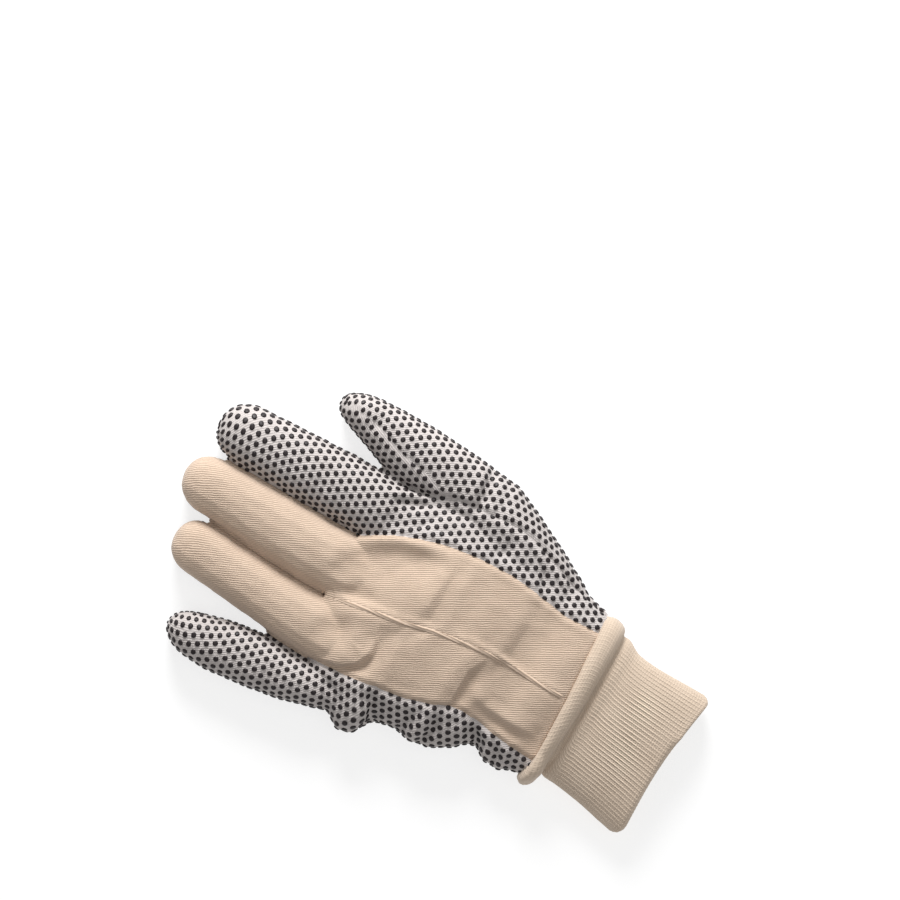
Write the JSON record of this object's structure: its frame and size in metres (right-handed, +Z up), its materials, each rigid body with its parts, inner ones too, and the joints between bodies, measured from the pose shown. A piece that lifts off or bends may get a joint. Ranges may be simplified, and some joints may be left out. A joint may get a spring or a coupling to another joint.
{
  "type": "cotton work glove",
  "caption": "Cotton work glove for the left hand with a dotted grip palm, plain drill back, set-in thumb and ribbed knit wrist, lying palm down.",
  "frame": {"origin": "on the floor under the middle of the wrist seam, where the drill meets the knit", "axes": "+Y along the glove to the fingertips, +X to the thumb, +Z up out of the back of the hand"},
  "size_m": [0.1564, 0.2756, 0.0308],
  "materials": {
    "dotted_cotton": "off-white cotton drill",
    "plain_drill": "unbleached cotton drill, matt twill",
    "cotton_knit": "unbleached ribbed cotton knit",
    "grip_dots": "satin black vinyl domes"
  },
  "bodies": {
    "root": {"palm_panel": "dotted_cotton", "thumb": "dotted_cotton", "back_panel_thumb_side": "plain_drill", "back_panel_little_side": "plain_drill", "knit_cuff": "cotton_knit"}
  },
  "joints": []
}
